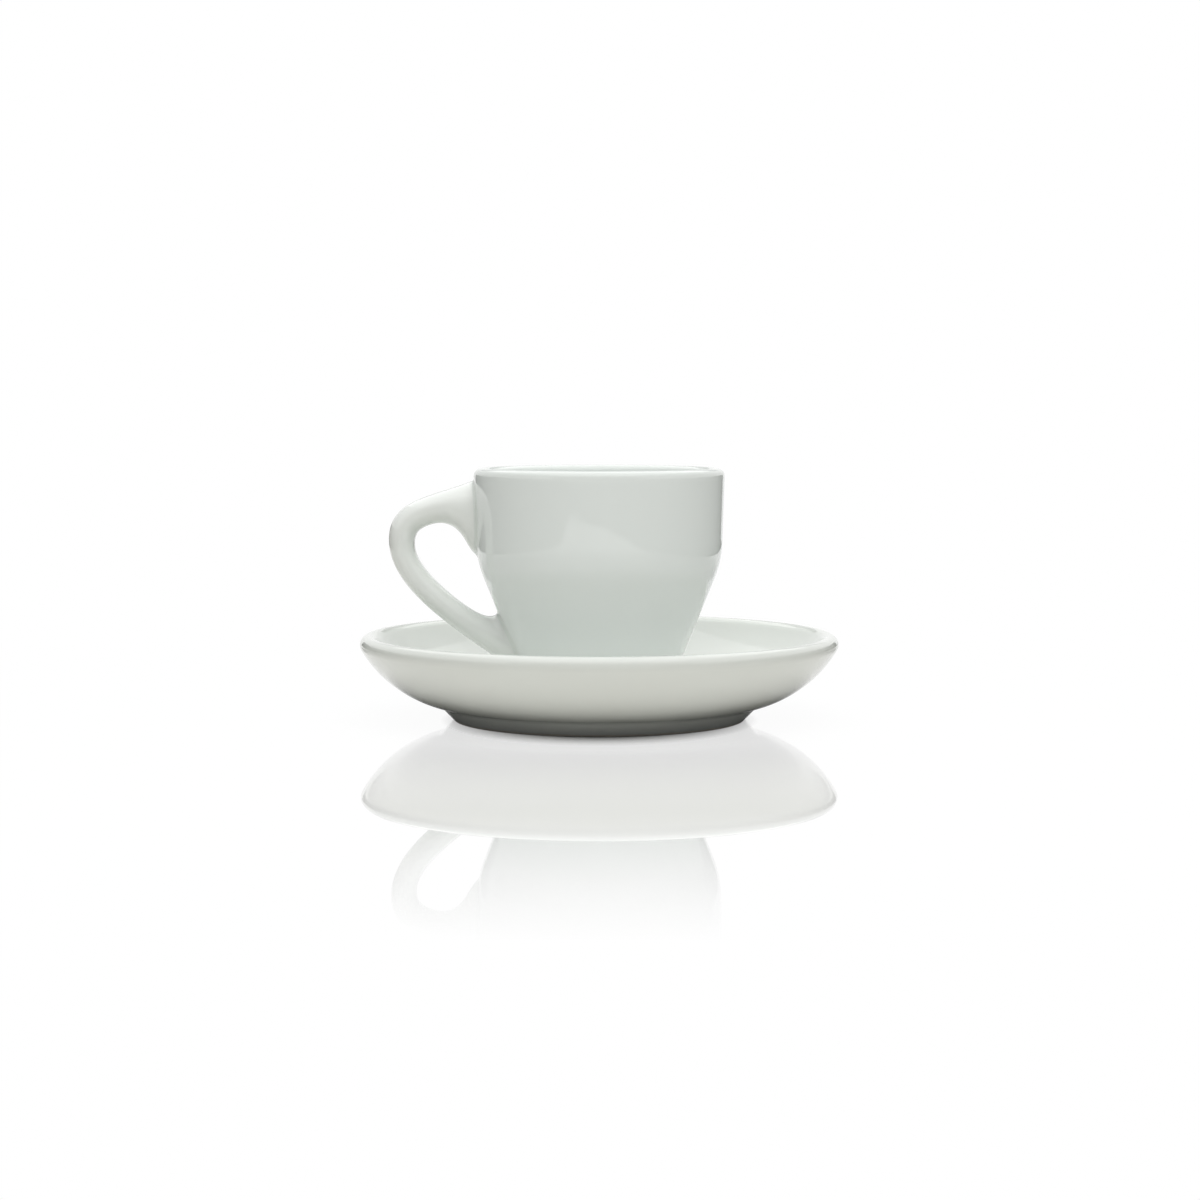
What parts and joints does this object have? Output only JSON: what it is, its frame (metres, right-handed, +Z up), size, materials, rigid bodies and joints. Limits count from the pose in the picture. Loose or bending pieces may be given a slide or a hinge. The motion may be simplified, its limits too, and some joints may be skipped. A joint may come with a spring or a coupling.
{
  "type": "cup with saucer",
  "caption": "Thick porcelain espresso cup with a looped side handle, conical below the shoulder, standing in the well of a round-lipped saucer.",
  "frame": {"origin": "on the table, on the axis that the cup and the saucer share, in the plane of the saucer's foot ring", "axes": "+Z up along the shared axis, the handle points along -X, X and Z span the plane of symmetry"},
  "size_m": [0.12, 0.12, 0.063],
  "materials": {
    "saucer_glaze": "gloss white glaze, slightly warm",
    "cup_glaze": "gloss white glaze"
  },
  "bodies": {
    "saucer": {"saucer": "saucer_glaze"},
    "cup": {"cup_body": "cup_glaze", "cup_handle": "cup_glaze"}
  },
  "joints": [
    {"name": "cup_lift", "type": "slide", "parent": "saucer", "child": "cup", "axis": [0, 0, 1], "range_m": [0, 0.08]}
  ]
}
